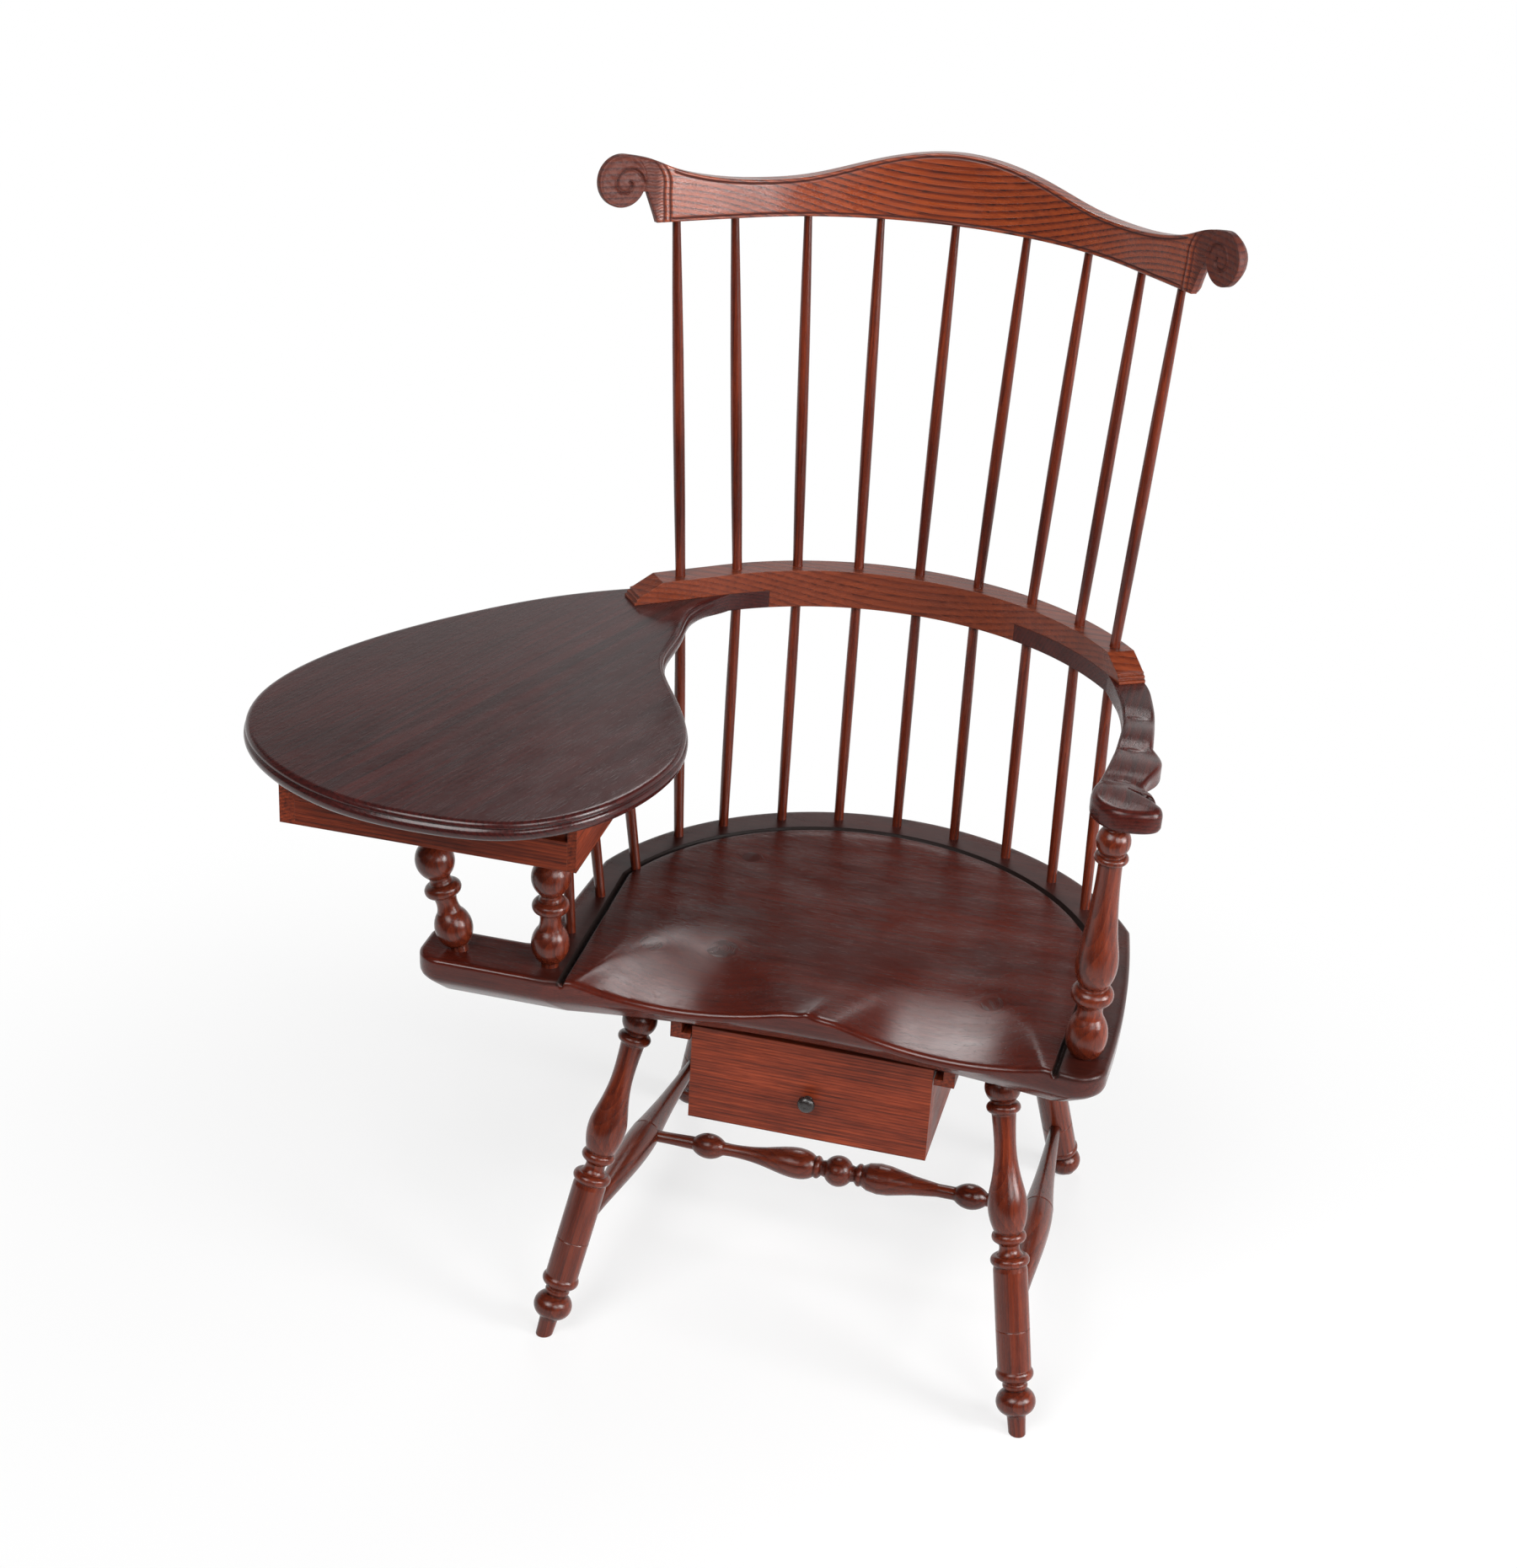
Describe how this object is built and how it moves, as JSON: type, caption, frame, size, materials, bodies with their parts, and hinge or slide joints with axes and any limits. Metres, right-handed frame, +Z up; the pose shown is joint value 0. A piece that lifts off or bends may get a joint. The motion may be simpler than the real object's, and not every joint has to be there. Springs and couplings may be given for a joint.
{
  "type": "writing arm windsor chair",
  "caption": "Windsor armchair with a teardrop writing tablet, comb-piece back with carved scrolls, turned legs, and dovetailed drawers under seat and tablet",
  "frame": {"origin": "on the floor, under the middle of the whole chair's box", "axes": "+Z up, -Y the way the sitter faces, +X towards the plain right arm; the writing tablet is on the -X side"},
  "size_m": [0.8616, 0.7044, 1.1754],
  "materials": {
    "seat_wood": "satin",
    "turned_wood": "satin",
    "bent_wood": "satin",
    "tablet_wood": "satin",
    "drawer_wood": "satin",
    "knob_metal": "satin"
  },
  "bodies": {
    "frame": {"arm_rail": "bent_wood", "arm_right": "bent_wood", "arm_stump": "turned_wood", "crest_rail": "bent_wood", "leg_front_left": "turned_wood", "leg_front_right": "turned_wood", "leg_rear_left": "turned_wood", "leg_rear_right": "turned_wood", "seat": "seat_wood", "seat_bearer_left": "drawer_wood", "seat_bearer_right": "drawer_wood", "spindle_long_1": "bent_wood", "spindle_long_2": "bent_wood", "spindle_long_3": "bent_wood", "spindle_long_4": "bent_wood", "spindle_long_5": "bent_wood", "spindle_long_6": "bent_wood", "spindle_long_7": "bent_wood", "spindle_long_8": "bent_wood", "spindle_long_9": "bent_wood", "spindle_short_1": "bent_wood", "spindle_short_2": "bent_wood", "spindle_short_3": "bent_wood", "spindle_short_4": "bent_wood", "spindle_short_5": "bent_wood", "stretcher_medial": "turned_wood", "stretcher_side_left": "turned_wood", "stretcher_side_right": "turned_wood", "tablet": "tablet_wood", "tablet_hanger_front": "drawer_wood", "tablet_hanger_rear": "drawer_wood", "tablet_post_inner": "turned_wood", "tablet_post_outer": "turned_wood"},
    "seat_drawer": {"seat_drawer_back": "drawer_wood", "seat_drawer_bottom": "drawer_wood", "seat_drawer_cleat_left": "drawer_wood", "seat_drawer_cleat_right": "drawer_wood", "seat_drawer_front": "drawer_wood", "seat_drawer_knob": "knob_metal", "seat_drawer_side_left": "drawer_wood", "seat_drawer_side_right": "drawer_wood"},
    "tablet_drawer": {"tablet_drawer_back": "drawer_wood", "tablet_drawer_bottom": "drawer_wood", "tablet_drawer_front": "drawer_wood", "tablet_drawer_knob": "knob_metal", "tablet_drawer_side_front": "drawer_wood", "tablet_drawer_side_rear": "drawer_wood"}
  },
  "joints": [
    {"name": "seat_drawer_slide", "type": "slide", "parent": "frame", "child": "seat_drawer", "axis": [0, -1, 0], "range_m": [0, 0.165]},
    {"name": "tablet_drawer_slide", "type": "slide", "parent": "frame", "child": "tablet_drawer", "axis": [-1, 0, 0], "range_m": [0, 0.11]}
  ]
}
